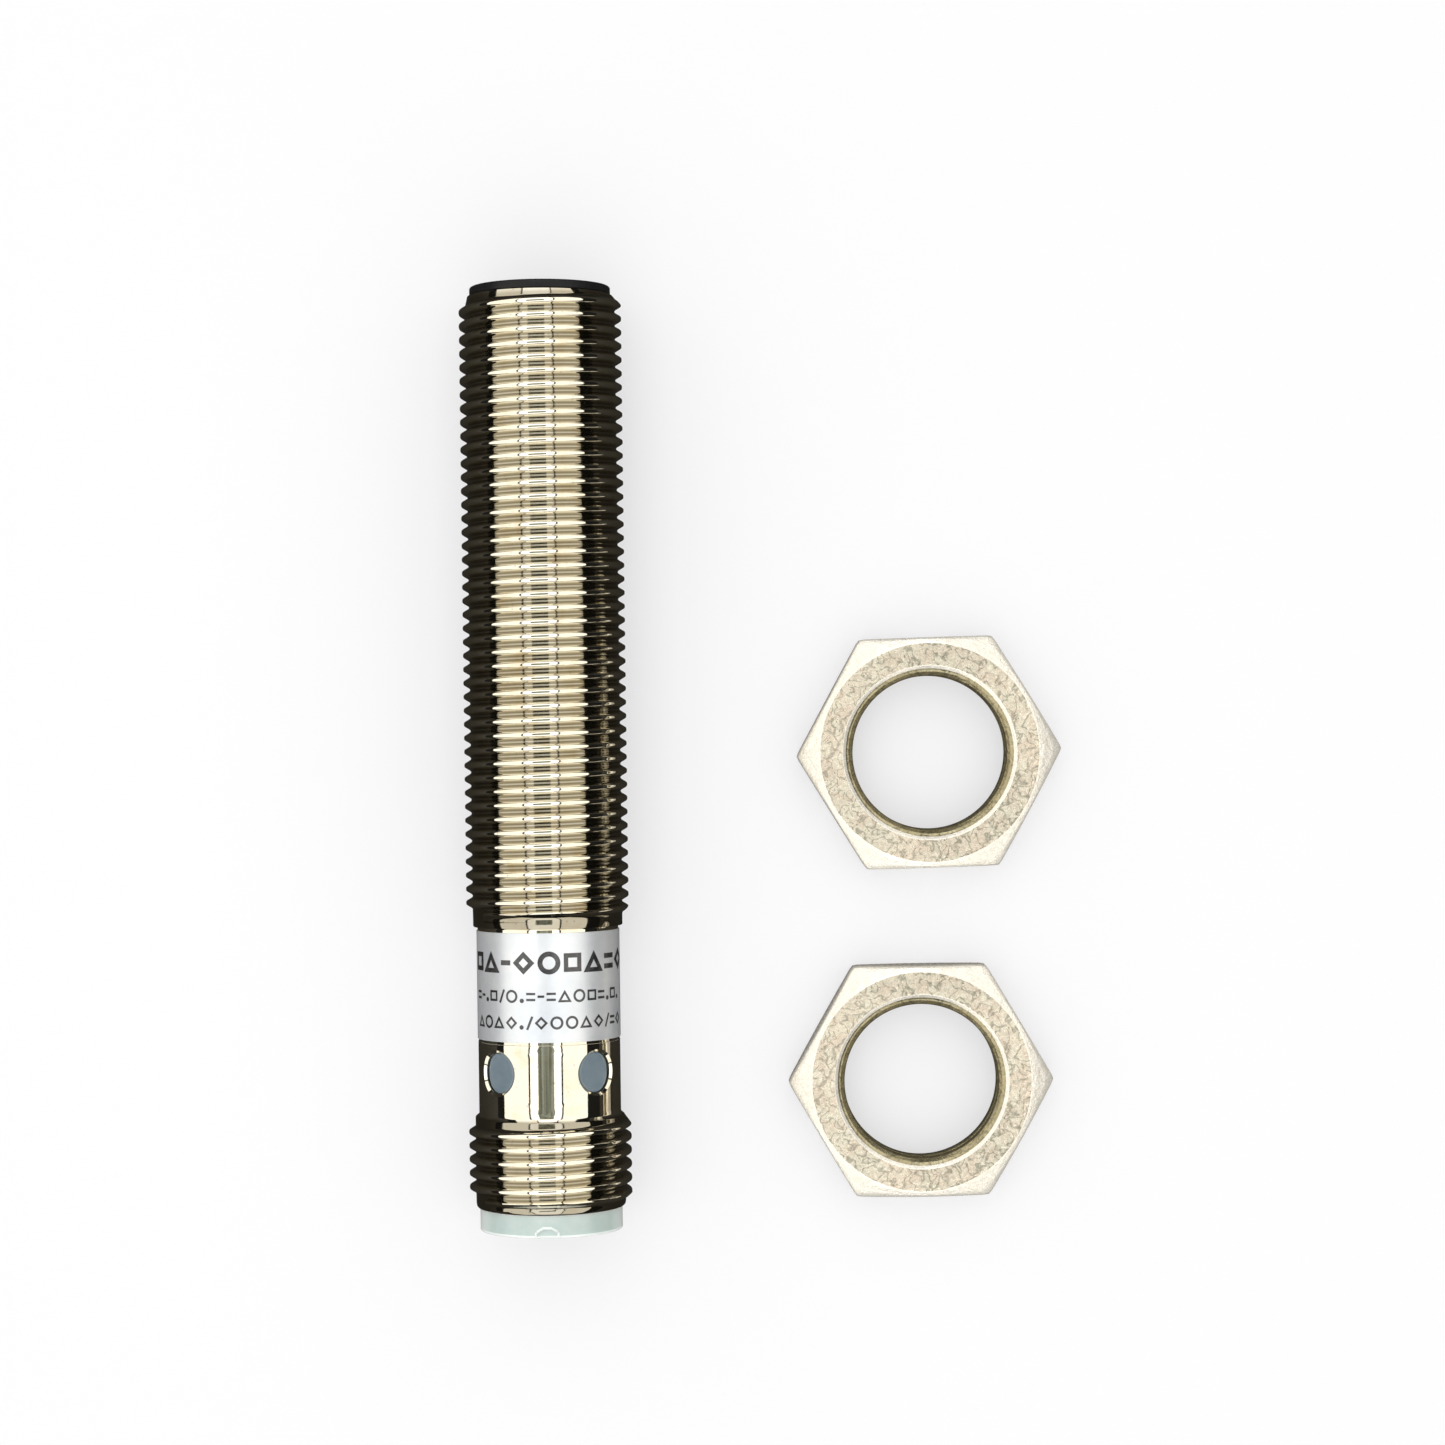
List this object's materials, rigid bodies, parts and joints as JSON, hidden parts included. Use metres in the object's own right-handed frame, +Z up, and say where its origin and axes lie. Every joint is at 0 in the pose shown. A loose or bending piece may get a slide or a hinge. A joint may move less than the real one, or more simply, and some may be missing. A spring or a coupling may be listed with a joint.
{
  "type": "proximity sensor",
  "caption": "Cylindrical inductive proximity sensor with a threaded metal barrel, flush sensing face, LED windows, plug end with pins, and loose hexagon mounting nuts.",
  "frame": {"origin": "middle of the sensing face", "axes": "+Y out of the sensing face along the barrel's axis, +Z up from the surface that the barrel and the nuts lie on, +X towards the nuts"},
  "size_m": [0.0439, 0.0687, 0.0118],
  "materials": {
    "nickel_plate": "nickel-plated brass, bright with fine turning lines",
    "black_plastic": "matt black moulded plastic",
    "copper": "bare or enamelled copper",
    "ferrite": "sintered, dull dark grey",
    "amber_plastic": "natural moulded plastic",
    "board_green": "glass-epoxy board with green solder mask",
    "chip_black": "moulded black epoxy",
    "ceramic": "tan ceramic",
    "tantalum_yellow": "moulded yellow epoxy",
    "led_body": "clear yellow epoxy",
    "potting_resin": "cast resin",
    "frosted_plastic": "translucent grey-green moulding",
    "seal_rubber": "black rubber",
    "gold_plate": "gold-plated brass, bright",
    "wire_brown": "brown insulation",
    "wire_white": "white insulation",
    "wire_blue": "blue insulation",
    "wire_black": "black insulation",
    "label_foil": "silver-grey printed foil"
  },
  "bodies": {
    "sensor": {"barrel": "nickel_plate", "connector_sleeve": "nickel_plate", "sensing_cap": "black_plastic", "shield_ring": "copper", "ferrite_core": "ferrite", "coil_bobbin": "amber_plastic", "coil_winding": "copper", "coil_lead_1": "copper", "coil_lead_2": "copper", "core_holder": "amber_plastic", "circuit_board": "board_green", "oscillator_ic": "chip_black", "output_transistor": "chip_black", "surge_diode": "chip_black", "voltage_regulator": "chip_black", "polarity_diode": "chip_black", "resonance_capacitor": "ceramic", "trim_resistor": "chip_black", "bias_resistor_1": "chip_black", "bias_resistor_2": "chip_black", "smoothing_capacitor": "tantalum_yellow", "led_1": "led_body", "led_2": "led_body", "led_3": "led_body", "led_4": "led_body", "potting_plug": "potting_resin", "light_guide": "frosted_plastic", "connector_insert": "frosted_plastic", "insert_seal": "seal_rubber", "pin_1": "gold_plate", "pin_2": "gold_plate", "pin_3": "gold_plate", "pin_4": "gold_plate", "pin_lead_1": "wire_brown", "pin_lead_2": "wire_white", "pin_lead_3": "wire_blue", "pin_lead_4": "wire_black", "label": "label_foil"},
    "nut_1": {"mounting_nut_1": "nickel_plate"},
    "nut_2": {"mounting_nut_2": "nickel_plate"}
  },
  "joints": [
    {"name": "nut_1_lift", "type": "slide", "parent": "sensor", "child": "nut_1", "axis": [0, 0, 1], "range_m": [0, 0.03]},
    {"name": "nut_2_lift", "type": "slide", "parent": "sensor", "child": "nut_2", "axis": [0, 0, 1], "range_m": [0, 0.03]}
  ]
}
